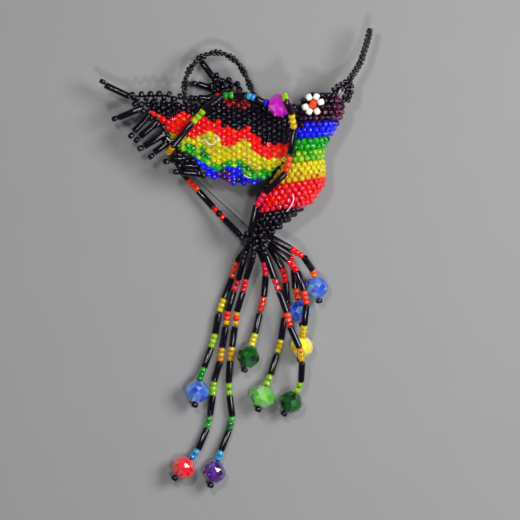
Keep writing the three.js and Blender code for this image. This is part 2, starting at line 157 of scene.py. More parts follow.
# ---- strands: routes repeated from the CAD
STRANDS = {
    "strand_1": {
        "route": [
            (3.4, 3.2, 3.6), (0.4, -0.9, 2.4), (-0.9, -5.3, 1.4), (-3.1, -10.9, 1.1), (-4.5, -14.7, 1.1),
            (-5.5, -20.4, 1.1), (-6.6, -24.2, 1.2), (-8.5, -29.6, 2.0), (-9.9, -33.1, 3.1),
        ],
        "letters": "bsbsbsbs",
        "colours": ["flame", "yellow", "lime", "green"],
        "knee": 4,
        "end": (-10.4, -36.0, 3.45),
        "crystal": ("blue_crystal", 3.4),
    },
    "strand_2": {
        "route": [
            (3.3, 3.6, 5.7), (2.2, -0.1, 5.2), (0.7, -5.8, 3.6), (-0.4, -8.8, 2.6), (-2.0, -14.2, 1.6),
            (-2.6, -18.2, 1.1), (-3.6, -24.2, 1.1), (-4.2, -27.9, 1.1), (-5.8, -33.3, 1.1),
            (-6.1, -37.1, 1.1), (-6.9, -42.5, 1.1), (-7.7, -46.0, 1.1), (-10.1, -51.7, 1.9),
            (-12.2, -54.3, 3.0),
        ],
        "letters": "sbsbsbsbsbsbs",
        "colours": ["black", "crimson", ["flame", "flame", "amber"], "amber", "lime", "green", "light_blue"],
        "knee": 5,
        "end": (-14.2, -56.7, 3.35),
        "crystal": ("red_crystal", 3.3),
    },
    "strand_3": {
        "route": [
            (5.0, 3.5, 7.6), (4.6, -0.2, 7.2), (2.8, -5.5, 5.2), (2.0, -9.0, 4.0), (0.4, -14.4, 2.7),
            (-0.1, -18.2, 1.9), (-0.9, -23.9, 1.2), (-1.5, -27.7, 1.1), (-1.8, -33.6, 1.1),
            (-1.6, -37.1, 1.1), (-0.9, -42.8, 1.1), (-1.8, -46.6, 1.1), (-3.9, -52.0, 2.0),
            (-5.0, -54.9, 3.0),
        ],
        "letters": "sbsbsbsbsbsbs",
        "colours": ["black", "crimson", ["amber", "red", "amber"], "amber", "lime", "green", "light_blue"],
        "knee": 5,
        "end": (-5.8, -57.8, 3.25),
        "crystal": ("purple_crystal", 3.2),
    },
    "strand_4": {
        "route": [
            (6.3, 2.6, 4.6), (7.7, -0.9, 3.0), (8.2, -4.7, 2.0), (7.7, -10.4, 1.3), (6.6, -14.7, 1.2),
            (5.3, -20.4, 2.0), (4.3, -23.8, 3.0),
        ],
        "letters": "bsbsbs",
        "colours": ["crimson", "flame", "yellow"],
        "knee": 4,
        "end": (3.5, -26.5, 3.15),
        "crystal": ("dark_green_crystal", 3.1),
    },
    "strand_5": {
        "route": [
            (9.0, 3.4, 2.6), (12.6, -2.6, 2.0), (13.6, -6.6, 1.3), (13.9, -12.3, 1.1), (13.2, -16.1, 1.1),
            (12.3, -22.0, 1.1), (11.2, -25.8, 1.3), (9.5, -31.5, 2.2), (8.1, -34.5, 3.4),
        ],
        "letters": "bsbsbsbs",
        "colours": ["red", "flame", "yellow", "lime"],
        "knee": 6,
        "end": (7.2, -37.4, 3.65),
        "crystal": ("light_green_crystal", 3.6),
    },
    "strand_6": {
        "route": [
            (7.2, 3.4, 7.8), (8.2, 0.7, 7.4), (10.5, -5.5, 7.3), (11.7, -8.8, 7.4), (13.9, -14.7, 7.8),
            (14.7, -18.5, 8.2), (17.3, -24.2, 8.3), (18.0, -27.9, 6.6), (17.7, -33.3, 4.6),
            (16.4, -36.2, 3.2),
        ],
        "letters": "sbsbsbsbs",
        "colours": ["black", "red", "flame", "amber", "lime"],
        "knee": 7,
        "end": (14.9, -38.8, 3.35),
        "crystal": ("dark_green_crystal", 3.3),
    },
    "strand_7": {
        "route": [
            (9.0, 4.2, 6.7), (14.2, -0.5, 6.0), (16.7, -3.6, 6.2), (18.5, -8.8, 7.0), (19.2, -12.6, 7.9),
            (18.6, -18.1, 7.0), (18.1, -21.0, 4.2),
        ],
        "letters": "bsbsbs",
        "colours": ["red", "flame", "yellow"],
        "end": (17.8, -23.9, 3.25),
        "crystal": ("yellow_crystal", 3.2),
    },
    "strand_8": {
        "route": [
            (8.5, 6.3, 9.9), (14.9, 2.6, 9.2), (18.4, 0.4, 8.6), (20.7, -3.0, 4.4), (21.4, -4.9, 3.4),
        ],
        "letters": "bsbs",
        "colours": ["red", "orange"],
        "knee": 2,
        "end": (21.9, -7.7, 3.25),
        "crystal": ("blue_crystal", 3.2),
    },
    "strand_9": {
        "route": [
            (9.6, 4.1, 4.6), (14.9, 0.7, 3.2), (15.8, -3.1, 2.2), (16.1, -8.2, 1.8), (16.9, -11.3, 3.1),
        ],
        "letters": "bsbs",
        "colours": ["red", "flame"],
        "end": (17.4, -14.2, 3.25),
        "crystal": ("blue_crystal", 3.2),
    },
    "strand_over_body": {
        "route": [
            (4.0, 6.9, 10.1), (5.6, 14.2, 11.8), (8.1, 17.7, 13.7), (13.6, 23.1, 15.3), (14.7, 27.9, 15.5),
            (15.8, 35.1, 17.2), (15.1, 38.9, 20.2), (13.6, 42.7, 21.5), (13.2, 44.4, 19.9),
        ],
        "letters": "bsbsbsbs",
        "colours": ["crimson", "flame", "yellow", "lime"],
        "knee": 4,
    },
    "strand_under_wing": {
        "route": [
            (2.3, 5.0, 8.4), (1.1, 6.3, 8.0), (-3.0, 10.5, 5.0), (-5.9, 13.6, 3.4), (-10.1, 18.2, 2.8),
            (-13.1, 21.5, 3.2), (-17.0, 27.7, 6.0),
        ],
        "letters": "sbsbsb",
        "colours": ["black", ["red", "black", "red"], "flame"],
    },
    "strand_over_wing": {
        "route": [
            (-18.3, 28.4, 6.9), (-17.0, 30.1, 11.4), (-11.6, 36.6, 11.9), (-8.5, 40.0, 12.3),
            (-3.4, 43.9, 13.2), (-0.3, 44.1, 13.6), (3.1, 44.0, 15.0), (5.4, 43.2, 15.7), (7.7, 42.1, 16.2),
            (8.8, 41.8, 16.5),
        ],
        "letters": "sbsbsbsbs",
        "colours": ["amber", "lime", "green", "light_blue", "blue"],
        "end": (12.0, 41.4, 16.6),
        "crystal": ("pink_crystal", 3.38),
        "half": 2.9,
    },
}

WINGS = {
    "near": {
        "hinge": (14.5, 0.0, 12.9),
        "droop": 0.117,
        "edge": [
            (-8.8, 21.6), (-9.4, 22.7), (-10.2, 24.8), (-13.4, 27.0), (-18.4, 31.2), (-18.9, 33.6),
            (-20.9, 36.9), (-23.1, 38.7), (-25.2, 40.6), (-28.5, 43.6), (-24.7, 43.8), (-21.2, 43.9),
            (-18.8, 43.9), (-15.8, 43.3), (-12.8, 42.9), (-9.9, 42.4), (-8.0, 40.9), (-3.6, 44.1),
            (-0.4, 44.3), (5.3, 42.8), (8.8, 41.4),
        ],
        "feathers": [
            ((-28.5, 43.6), (-35.2, 46.8), (-35.9, 47.7)),
            ((-25.2, 40.6), (-31.7, 37.9), (-32.6, 37.7)),
            ((-23.1, 38.7), (-27.5, 34.2), (-28.2, 33.1)),
            ((-20.9, 36.9), (-25.8, 32.8), (-26.7, 31.9)),
            ((-18.9, 33.6), (-24.7, 30.2), (-25.7, 29.7)),
            ((-18.4, 31.2), (-22.0, 28.5), (-22.8, 27.5)),
            ((-13.4, 27.0), (-17.7, 26.5), (-18.7, 26.1)),
            ((-10.2, 24.8), (-14.4, 25.0), (-15.3, 25.0)),
            ((-9.4, 22.7), (-15.0, 23.2), (-16.0, 23.3)),
        ],
        "thread_ends": {
            "yellow": [
                [(-9.4, 31.5, 11.4), (-8.2, 32.0, 11.9), (-7.2, 30.9, 12.0), (-6.0, 30.7, 11.7)],
                [(-6.0, 32.4, 12.0), (-5.2, 31.4, 12.1), (-4.6, 32.6, 12.2), (-5.6, 33.4, 11.8)],
                [(-18.6, 32.6, 10.0), (-17.8, 31.8, 10.1), (-16.8, 31.9, 10.0)],
            ],
            "green": [[(2.2, 22.6, 11.9), (3.6, 21.7, 12.1), (4.8, 22.2, 12.1), (5.8, 23.5, 12.0)]],
            "blue": [[(-1.4, 22.0, 11.5), (-0.2, 21.3, 11.6), (1.0, 21.7, 11.6)]],
        },
    },
    "far": {
        "hinge": (12.8, 0.0, 3.4),
        "droop": 0.1,
        "edge": [
            (-4.6, 39.2), (-6.0, 43.1), (-6.2, 45.8), (-6.1, 49.0), (-4.2, 48.7), (-2.6, 47.8), (-0.4, 46.9),
            (1.8, 45.7),
        ],
        "feathers": [
            ((-6.1, 49.0), (-9.3, 53.1), (-9.8, 54.0)),
            ((-6.2, 45.8), (-10.2, 47.1), (-11.1, 47.2)),
            ((-6.0, 43.1), (-10.0, 43.3), (-10.9, 43.2)),
            ((-4.6, 39.2), (-8.8, 38.6), (-9.7, 38.4)),
        ],
    },
}
WING_COLOURS = ["black", "red", "yellow", "green", "blue"]
WING_SHADES = {  # the odd bead of the next shade that the stitching lets in, and how often
    "red": ("flame", 0.2),
    "yellow": ("olive", 0.35),
    "green": ("lime", 0.2),
    "blue": ("plum", 0.08),
}
WINE_PATCH = ((-5.2, -1.2), (0.0, 23.5))  # X and Y of the purple beads at the lower edge
GARNET_PATCH = ((-3.2, 4.2), (39.2, 60.0))  # X and Y of the dark red beads at the upper edge
GARNET_SHARE = 0.75
PALE_THREAD_BANDS = ("yellow", "green")
PANEL_SEARCH = ((0, 0), (0, 0.35), (0, -0.35), (0.3, 0), (-0.3, 0))  # where a bead looks for its panel

LOOP_ROUTE = [
    (13.1, 37.3, 7.6), (7.2, 38.1, 7.0), (0.1, 39.0, 6.6), (-6.9, 40.0, 6.4), (-11.5, 40.9, 6.2),
    (-13.4, 43.1, 6.2), (-13.8, 45.4, 6.2), (-13.6, 47.7, 6.2), (-12.8, 50.2, 6.2), (-11.0, 52.7, 6.2),
    (-8.8, 54.5, 6.2), (-5.9, 55.5, 6.2), (-3.1, 55.2, 6.2), (-0.3, 53.6, 6.2), (1.6, 51.4, 6.2),
    (3.1, 48.6, 6.2), (4.2, 45.9, 6.2), (5.8, 43.1, 6.6), (8.8, 40.8, 7.2), (12.6, 39.9, 7.6),
]
LOOP_BEAD_R = 0.6
LOOP_BEAD_LENGTH = 0.92
LOOP_WOBBLE = 0.15
LOOP_TWIST_R = 0.42
LOOP_STEP = 1.1
LOOP_LAY = 9.0  # one full turn of the two bead strings

BEAK_CURVE = [
    (30.4, 47.4, 8.6), (31.2, 48.9, 8.5), (32.3, 50.5, 8.4), (33.2, 52.0, 8.3), (34.0, 53.5, 8.2),
    (34.4, 55.0, 8.1), (34.9, 56.4, 8.0), (35.4, 58.0, 7.9), (35.9, 59.8, 7.8), (36.3, 61.6, 7.7),
]
BEAK_BRANCHES = [
    [(30.4, 47.4, 8.6), (29.0, 46.6, 8.6), (27.6, 45.8, 8.6), (26.6, 44.8, 8.6)],
    [(30.4, 47.4, 8.6), (30.8, 45.6, 8.6), (30.2, 43.9, 8.6), (29.6, 42.2, 8.6)],
]
BEAK_THREAD = [(27.6, 44.4, 8.9), (28.3, 45.2, 9.2), (28.5, 46.1, 9.0)]

EYE_CENTRE = (20.9, 41.6)
EYE_HEIGHTS = {"near": 15.1, "far": 1.95}

# A loose thread end on the belly.
BELLY_THREAD = [(15.4, 17.3, 15.7), (15.7, 15.9, 15.8), (15.0, 14.2, 15.5), (13.8, 12.6, 14.7)]

# Black beads between the tail's last round and the roots of the strands.
TAIL_CENTRE = (5.9, 6.0, 6.3)
TAIL_LEAN = (0.3, 1.0, 0.2)
TAIL_WOBBLE = 0.5
TAIL_REACH_X = 9.9  # strands rooted beyond this have no thread to the knot's centre
TAIL_KNOT = [
    (3.6, 4.6, 5.0), (5.1, 4.2, 5.8), (6.9, 4.3, 6.6), (4.0, 5.1, 7.0), (5.6, 4.7, 8.0), (7.4, 4.8, 8.3),
    (2.9, 5.6, 6.0), (8.0, 4.9, 5.4), (6.4, 4.4, 4.0), (4.8, 4.9, 3.6), (3.2, 6.6, 8.2), (5.0, 6.2, 9.0),
    (6.8, 6.3, 9.4), (7.9, 6.0, 8.0), (5.7, 3.2, 7.1), (4.2, 3.3, 4.6), (7.1, 3.2, 5.4),
]

# The bands of the body from the tail to the crown, with the bead colours of their rows in order.
BODY_BANDS = [
    ("tail_base", ["black"]),
    ("rump", ["black"]),
    ("belly_red", ["crimson", "red", "red", "red", "red", "flame"]),
    ("breast_yellow", ["amber", "yellow", "yellow", "yellow", "yellow"]),
    ("breast_lime", ["lime", "lime"]),
    ("throat_green", ["green", "green"]),
    ("throat_blue", ["blue", "blue", "blue"]),
    ("head", ["plum"]),
]

# The shade a few beads of a band take instead, and how often towards the back and towards the breast. Towards
# the back the darker shades of red, yellow, lime and blue come far more often: partly the odd bead of the
# next shade, partly painted shade on the side away from the key lamp.
BODY_SHADES = {
    "crimson": ("red", 0.2, 0.3),
    "red": ("crimson", 0.35, 0.04),
    "flame": ("amber", 0.1, 0.25),
    "yellow": ("amber", 0.7, 0.08),
    "lime": ("green", 0.55, 0.1),
    "green": ("lime", 0.03, 0.06),
    "blue": ("plum", 0.25, 0.03),
}
SPINE_END = 36.0  # the black line down the back stops at the head

# Cosines of a bead's turn round the body: 1 is at the breast, -1 at the back.
SPINE_EDGE = -0.86
# towards the back past this cosine, the darker shades given more often are partly painted shade
BACK_SHADE_EDGE = -0.2
WINE_SHARE = 0.15  # of the crown's beads at the sides
WINE_GAIN = 0.5  # and so much more of them towards the beak

# Display colours from 0 to 255 that a bead's tone runs through, and how clear the glass is.
BEAD_LOOKS = {
    "black": ([(3, 0, 7), (12, 3, 22), (1, 0, 3)], 0.0),
    "plum": ([(16, 2, 20), (36, 5, 40), (6, 1, 12)], 0.0),
    "wine": ([(60, 3, 42), (96, 8, 60), (34, 2, 34)], 0.1),
    "garnet": ([(110, 2, 8), (150, 6, 12), (70, 1, 6)], 0.1),
    "blue": ([(4, 4, 235), (10, 26, 255), (2, 2, 150)], 0.15),
    "light_blue": ([(10, 140, 255), (60, 205, 255), (6, 90, 240)], 0.5),
    "green": ([(6, 160, 20), (30, 215, 40), (2, 100, 12)], 0.5),
    "lime": ([(170, 240, 10), (215, 255, 40), (110, 215, 14)], 0.6),
    "olive": ([(225, 215, 10), (240, 240, 40), (190, 195, 10)], 0.6),
    "yellow": ([(255, 230, 0), (255, 245, 10), (255, 205, 0)], 0.5),
    "amber": ([(255, 185, 0), (255, 215, 10), (255, 150, 0)], 0.5),
    "orange": ([(255, 90, 0), (255, 130, 10), (245, 60, 0)], 0.35),
    "vermilion": ([(255, 66, 0), (255, 66, 0), (255, 66, 0)], 0.0),
    "flame": ([(255, 40, 0), (255, 84, 4), (250, 20, 4)], 0.25),
    "red": ([(255, 0, 6), (255, 20, 12), (235, 0, 14)], 0.2),
    "crimson": ([(235, 0, 40), (255, 20, 70), (200, 0, 30)], 0.25),
    "pearl": ([(226, 220, 204), (238, 234, 222), (208, 196, 174)], 0.0),
}

# Display colours of a crystal's facets.
CRYSTAL_LOOKS = {
    "blue_crystal": [(70, 110, 255), (115, 170, 255), (30, 60, 240), (175, 235, 255)],
    "red_crystal": [(255, 0, 40), (255, 16, 60), (235, 0, 24), (255, 110, 110)],
    "purple_crystal": [(80, 20, 140), (120, 50, 180), (40, 6, 84), (160, 120, 210)],
    "dark_green_crystal": [(6, 76, 14), (20, 125, 20), (3, 28, 20), (60, 150, 90)],
    "light_green_crystal": [(120, 235, 90), (170, 255, 130), (80, 200, 50), (215, 255, 190)],
    "yellow_crystal": [(255, 240, 20), (255, 252, 100), (240, 205, 4), (255, 255, 215)],
    "pink_crystal": [(240, 0, 240), (255, 20, 255), (225, 0, 205), (255, 150, 250)],
}
MILKY_CRYSTALS = ("pink_crystal", "red_crystal", "yellow_crystal")
MILKY_CLEARNESS = 0.2
CRYSTAL_CLEARNESS = 0.5
CLEAR_IOR = 1.52
CRYSTAL_IOR = 1.6
JET_IOR = 1.46  # the opaque beads' coated surface, duller than clear glass

# The light and the dark tone of a thread's twist, and its sheen.
THREAD_LOOKS = {
    "thread": ((244, 242, 238), (205, 200, 196), 0.3),
    "dark_thread": ((18, 10, 24), (6, 4, 8), 0.0),
}


# ---- materials
def linear(r, g, b):
    """A display colour from 0 to 255 as linear light."""
    parts = [c / 255 / 12.92 if c <= 10 else ((c / 255 + 0.055) / 1.055) ** 2.4 for c in (r, g, b)]
    return (*parts, 1.0)


def new_material(name):
    """A new material with its nodes, its links and its main shader."""
    made = bpy.data.materials.new(name)
    made.use_nodes = True
    nodes = made.node_tree.nodes
    return made, nodes, made.node_tree.links, nodes["Principled BSDF"]


def tone_ramp(nodes, links, stops):
    """Colours chosen by each bead's own tone, from 0 to 1."""
    tone = nodes.new("ShaderNodeAttribute")
    tone.attribute_name = "tone"
    ramp = nodes.new("ShaderNodeValToRGB")
    ramp.color_ramp.elements[0].color = stops[0]
    ramp.color_ramp.elements[1].color = stops[-1]
    for i, colour in enumerate(stops[1:-1], 1):
        ramp.color_ramp.elements.new(i / (len(stops) - 1)).color = colour
    links.new(tone.outputs["Fac"], ramp.inputs["Fac"])
    return ramp.outputs["Color"]


def cloudy(nodes, links, colour, scale, low, high):
    """The colour made lighter and darker by a fine cloud, as in moulded glass."""
    noise = nodes.new("ShaderNodeTexNoise")
    noise.inputs["Scale"].default_value = scale
    noise.inputs["Detail"].default_value = 4.0
    level = nodes.new("ShaderNodeMapRange")
    level.inputs["To Min"].default_value = low
    level.inputs["To Max"].default_value = high
    links.new(noise.outputs["Fac"], level.inputs["Value"])
    shade = nodes.new("ShaderNodeMix")
    shade.data_type = "RGBA"
    shade.blend_type = "MULTIPLY"
    shade.inputs[0].default_value = 1.0
    links.new(colour, shade.inputs[6])
    links.new(level.outputs["Result"], shade.inputs[7])
    return shade.outputs[2], noise.outputs["Fac"]


def uneven_gloss(nodes, links, fac, shader, smooth, rough):
    """Roughness that follows the same cloud as the colour."""
    level = nodes.new("ShaderNodeMapRange")
    level.inputs["To Min"].default_value = smooth
    level.inputs["To Max"].default_value = rough
    links.new(fac, level.inputs["Value"])
    links.new(level.outputs["Result"], shader.inputs["Roughness"])


def ripple(nodes, links, shader, scale, strength, distance):
    """The slight waves of pressed glass."""
    noise = nodes.new("ShaderNodeTexNoise")
    noise.inputs["Scale"].default_value = scale
    bump = nodes.new("ShaderNodeBump")
    bump.inputs["Strength"].default_value = strength
    bump.inputs["Distance"].default_value = distance
    links.new(noise.outputs["Fac"], bump.inputs["Height"])
    links.new(bump.outputs["Normal"], shader.inputs["Normal"])


def bead_glass(name, stops, clear):
    """Glass of a seed or bugle bead. Clear glass has a polished coat, and opaque glass is plain."""
    made, nodes, links, shader = new_material(name)
    colour, cloud = cloudy(nodes, links, tone_ramp(nodes, links, stops), scale=900.0, low=0.82, high=1.15)
    links.new(colour, shader.inputs["Base Color"])
    uneven_gloss(nodes, links, cloud, shader, smooth=0.02, rough=0.07)
    shader.inputs["IOR"].default_value = CLEAR_IOR if clear else JET_IOR
    shader.inputs["Transmission Weight"].default_value = clear
    shader.inputs["Coat Weight"].default_value = 0.5 if clear else 0.0
    shader.inputs["Coat Roughness"].default_value = 0.03
    ripple(nodes, links, shader, scale=700.0, strength=0.08, distance=0.0001)
    return made


def crystal_glass(name, stops, clear):
    """Cut glass, whose facets take their tones one by one."""
    made, nodes, links, shader = new_material(name)
    colour, cloud = cloudy(nodes, links, tone_ramp(nodes, links, stops), scale=260.0, low=0.9, high=1.1)
    links.new(colour, shader.inputs["Base Color"])
    uneven_gloss(nodes, links, cloud, shader, smooth=0.01, rough=0.05)
    shader.inputs["IOR"].default_value = CRYSTAL_IOR
    shader.inputs["Transmission Weight"].default_value = clear
    shader.inputs["Coat Weight"].default_value = 1.0
    shader.inputs["Coat Roughness"].default_value = 0.01
    return made


def nylon(name, light, dark, sheen):
    """Twisted thread, with the two tones of its twist."""
    made, nodes, links, shader = new_material(name)
    twist = nodes.new("ShaderNodeTexWave")
    twist.inputs["Scale"].default_value = 1800.0
    twist.inputs["Distortion"].default_value = 2.0
    ramp = nodes.new("ShaderNodeValToRGB")
    ramp.color_ramp.elements[0].color = dark
    ramp.color_ramp.elements[1].color = light
    links.new(twist.outputs["Fac"], ramp.inputs["Fac"])
    links.new(ramp.outputs["Color"], shader.inputs["Base Color"])
    shader.inputs["Roughness"].default_value = 0.45
    shader.inputs["Sheen Weight"].default_value = sheen
    return made


def make_materials():
    """Every bead's, crystal's and thread's material by name."""
    made = {}
    for name, (stops, clear) in BEAD_LOOKS.items():
        made[name] = bead_glass(name, [linear(*stop) for stop in stops], clear)
    for name, stops in CRYSTAL_LOOKS.items():
        clear = MILKY_CLEARNESS if name in MILKY_CRYSTALS else CRYSTAL_CLEARNESS
        made[name] = crystal_glass(name, [linear(*stop) for stop in stops], clear)
    for name, (light, dark, sheen) in THREAD_LOOKS.items():
        made[name] = nylon(name, linear(*light), linear(*dark), sheen)
    return made


MATERIALS = make_materials()


# ---- shapes: axis along Y, radius 1, length 1
def revolved(profile, sides):
    """Vertices and faces of a closed profile of (radius, height) pairs turned about Y."""
    count = len(profile)
    verts = [
        (r * math.cos(2 * math.pi * s / sides), h, r * math.sin(2 * math.pi * s / sides))
        for s in range(sides)
        for r, h in profile
    ]
    faces = []
    for s in range(sides):
        a, b = s * count, (s + 1) % sides * count
        for i in range(count):
            j = (i + 1) % count
            faces.append((a + i, a + j, b + j, b + i))
    return np.array(verts), faces


def ring_profile(hole, squareness):
    """A bead's rounded section between its hole and its outside."""
    points = 8
    half = (1 - hole) / 2
    out = []
    for i in range(points):
        turn = 2 * math.pi * (i + 0.5) / points
        c, s = math.cos(turn), math.sin(turn)
        out.append((
            hole + half + half * math.copysign(abs(c) ** squareness, c),
            0.5 * math.copysign(abs(s) ** squareness, s),
        ))
    return out


def bugle_shape(length):
    """A glass tube with slightly rounded rims. The rims keep their size whatever the length."""
    rim = BUGLE_RIM / length
    hole, face = 0.42, 0.86
    profile = [
        (hole, -0.5), (face, -0.5), (0.97, -0.5 + 0.5 * rim), (1.0, -0.5 + 1.6 * rim),
        (1.0, 0.5 - 1.6 * rim), (0.97, 0.5 - 0.5 * rim), (face, 0.5), (hole, 0.5),
    ]
    return revolved(profile, sides=16)


def rondelle_shape(sides):
    """A faceted rondelle: a belt of rhombic facets, triangles above and below it, and a flat table."""
    belt, table, bore = math.cos(math.pi / sides), 0.5, 0.15
    belt_height = 0.2
    levels = [  # radius, height and turn in steps of one side
        (table, -0.5, 0.0), (belt, -belt_height, 0.5), (1.0, 0.0, 0.0), (belt, belt_height, 0.5),
        (table, 0.5, 0.0), (bore, 0.5, 0.0), (bore, -0.5, 0.0),
    ]
    verts = []
    for r, h, phase in levels:
        for s in range(sides):
            turn = 2 * math.pi * (s + phase) / sides
            verts.append((r * math.cos(turn), h, r * math.sin(turn)))
    starts = [i * sides for i in range(len(levels))]
    low_table, low_belt, rim, high_belt, high_table, high_bore, low_bore = starts
    faces = []
    for s in range(sides):
        n = (s + 1) % sides
        faces.append((rim + s, high_belt + s, rim + n, low_belt + s))
        faces.append((high_belt + s, high_belt + n, rim + n))
        faces.append((low_belt + n, low_belt + s, rim + n))
        faces.append((high_table + s, high_table + n, high_belt + s))
        faces.append((high_table + n, high_belt + n, high_belt + s))
        faces.append((low_table + n, low_table + s, low_belt + s))
        faces.append((low_belt + n, low_table + n, low_belt + s))
        faces.append((high_bore + s, high_bore + n, high_table + n, high_table + s))
        faces.append((low_bore + n, low_bore + s, low_table + s, low_table + n))
        faces.append((low_bore + s, low_bore + n, high_bore + n, high_bore + s))
    return np.array(verts), faces


def barrel_faces(rings, sides):
    """The faces round a stack of rings of vertices, with both ends closed."""
    faces = [
        (i * sides + s, i * sides + (s + 1) % sides, (i + 1) * sides + (s + 1) % sides, (i + 1) * sides + s)
        for i in range(rings - 1)
        for s in range(sides)
    ]
    faces.append(tuple(reversed(range(sides))))
    faces.append(tuple((rings - 1) * sides + s for s in range(sides)))
    return faces


SEED = revolved(ring_profile(hole=0.26, squareness=0.95), sides=14)
PETAL = revolved(ring_profile(hole=0.16, squareness=1.0), sides=16)
RONDELLE = rondelle_shape(CRYSTAL_SIDES)


# ---- curves
def smooth_route(points, per_span=12):
    """A Catmull-Rom curve through points."""
    pts = [Vector(p) for p in points]
    pts = [2 * pts[0] - pts[1], *pts, 2 * pts[-1] - pts[-2]]
    out = []
    for p0, p1, p2, p3 in zip(pts, pts[1:], pts[2:], pts[3:]):
        for i in range(per_span):
            t = i / per_span
            bend = (2 * p0 - 5 * p1 + 4 * p2 - p3) * t**2
            twist = (3 * p1 - p0 - 3 * p2 + p3) * t**3
            out.append(0.5 * (2 * p1 + (p2 - p0) * t + bend + twist))
    out.append(pts[-2])
    return out


def even_steps(points, step):
    """(point, direction, distance) every step along a polyline."""
    out, gone, target = [], 0.0, 0.0
    for a, b in zip(points, points[1:]):
        length = (b - a).length
        while target <= gone + length:
            out.append((a.lerp(b, (target - gone) / length), (b - a).normalized(), target))
            target += step
        gone += length
    return out


# ---- gathering shapes into pieces
BODIES = frame["record"]["behaviour"]["bodies"]
BODY_OF = {node: body for body, nodes in BODIES.items() for node in nodes}
UP = Vector((0, 0, 1))
OFF_AXIS = Vector((0.13, 0.21, 0.97))  # a direction that no thread runs in
MID_TONE = 0.5


class Pile:
    """Copies of shapes that become one mesh."""

    def __init__(self):
        self.verts, self.faces, self.tones, self.total = [], [], [], 0

    def add(self, shape, centre, direction, radius, length, tone, roll=0.0):
        """A shape with its axis in a direction, turned about that axis by roll."""
        verts, faces = shape
        turn = Vector(direction).to_track_quat("Y", "Z").to_matrix() @ Matrix.Rotation(roll, 3, "Y")
        scaled = verts * np.array((radius, length, radius))
        self.append(scaled @ np.array(turn).T + np.array(centre), faces, tone)

    def append(self, verts, faces, tone):
        """Vertices in layout millimetres, with one tone for all of them."""
        self.verts.append(verts)
        self.faces.extend([tuple(i + self.total for i in f) for f in faces])
        self.tones.append(np.full(len(verts), tone))
        self.total += len(verts)

    def tube(self, points, radius):
        """A round thread along points, closed at both ends."""
        sides = 6
        pts = [Vector(p) for p in points]
        rings = []
        for i, p in enumerate(pts):
            along = (pts[min(i + 1, len(pts) - 1)] - pts[max(i - 1, 0)]).normalized()
            side = along.cross(OFF_AXIS).normalized()
            up = along.cross(side)
            for s in range(sides):
                turn = 2 * math.pi * s / sides
                rings.append(tuple(p + (side * math.cos(turn) + up * math.sin(turn)) * radius))
        self.append(np.array(rings), barrel_faces(len(pts), sides), MID_TONE)


def place(verts):
    """Layout millimetres to frame metres."""
    return (np.asarray(verts) - np.array(BASE_POINT)) * MM


def tone_by_bead(mesh, pile):
    """One tone for each bead, kept at its vertices."""
    tone = mesh.attributes.new("tone", "FLOAT", "POINT")
    tone.data.foreach_set("value", np.concatenate(pile.tones).astype(np.float32))


def tone_by_facet(mesh, rng):
    """One tone for each facet, kept at its corners."""
    tone = mesh.attributes.new("tone", "FLOAT_COLOR", "CORNER")
    values = []
    for polygon in mesh.polygons:
        level = rng.random()
        values += [level, level, level, 1.0] * polygon.loop_total
    tone.data.foreach_set("color", values)


def finish_piece(pile, name, node, look, facet_rng=None):
    """The pile as one mesh that rides on its node's body: smooth, or faceted when there is a facet_rng."""
    mesh = bpy.data.meshes.new(name)
    mesh.from_pydata(place(np.concatenate(pile.verts)).tolist(), [], pile.faces)
    if facet_rng:
        tone_by_facet(mesh, facet_rng)
    else:
        tone_by_bead(mesh, pile)
    mesh.polygons.foreach_set("use_smooth", [facet_rng is None] * len(mesh.polygons))
    mesh.materials.append(MATERIALS[look])
    piece = bpy.data.objects.new(name, mesh)
    bpy.context.scene.collection.objects.link(piece)
    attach(piece, BODY_OF[node])
    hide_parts(node)


def finish_node(node, piles):
    """One piece for each bead colour of a node."""
    for look, pile in piles.items():
        finish_piece(pile, f"{node}_{look}", node, look)


def pile_for(piles, look):
    """The pile of one bead colour, started when it is first asked for."""
    return piles.setdefault(look, Pile())


def jittered(direction, amount, rng):
    """The direction as a unit vector, pushed aside by up to an amount."""
    push = Vector((rng.uniform(-1, 1), rng.uniform(-1, 1), rng.uniform(-1, 1))) * amount
    return (Vector(direction).normalized() + push).normalized()


def add_seed(piles, look, centre, direction, rng, radius=SEED_R, length=SEED_LENGTH, wobble=SEED_WOBBLE):
    """A seed bead, a little off its size and direction."""
    bead_r = radius * rng.uniform(*SEED_R_SPREAD)
    along = jittered(direction, wobble, rng)
    bead_length = length * rng.uniform(*SEED_LENGTH_SPREAD)
    tone = rng.random()
    pile_for(piles, look).add(SEED, centre, along, bead_r, bead_length, tone, rng.uniform(0, math.pi))


# ---- strands of the tassel
def seed_stretch(piles, look, a, b, rng):
    """Seed beads from a to b, in one colour or in a list of colours in turn."""
    length = (b - a).length
    count = max(1, round(length / SEED_PITCH))
    for i in range(count):
        centre = a.lerp(b, (i + 0.5) / count)
        shade = look if isinstance(look, str) else look[i % len(look)]
        add_seed(piles, shade, centre, b - a, rng, length=min(SEED_LENGTH, length / count))


def bugle_stretch(piles, a, b, rng):
    """One black bugle bead from a to b."""
    length = (b - a).length
    tone = rng.random()
    roll = rng.uniform(0, math.pi)
    middle = a.lerp(b, 0.5)
    pile_for(piles, "black").add(bugle_shape(length), middle, b - a, BUGLE_R, length - BUGLE_PLAY, tone, roll)


def strand_link(piles, points, letters, colours, rng):
    """The beads along points: b is a bugle bead, s a stretch of seed beads."""
    pile_for(piles, "dark_thread").tube(points, THREAD_R)
    left = list(colours)
    for letter, a, b in zip(letters, points, points[1:]):
        if letter == "b":
            bugle_stretch(piles, a, b, rng)
        else:
            seed_stretch(piles, left.pop(0), a, b, rng)


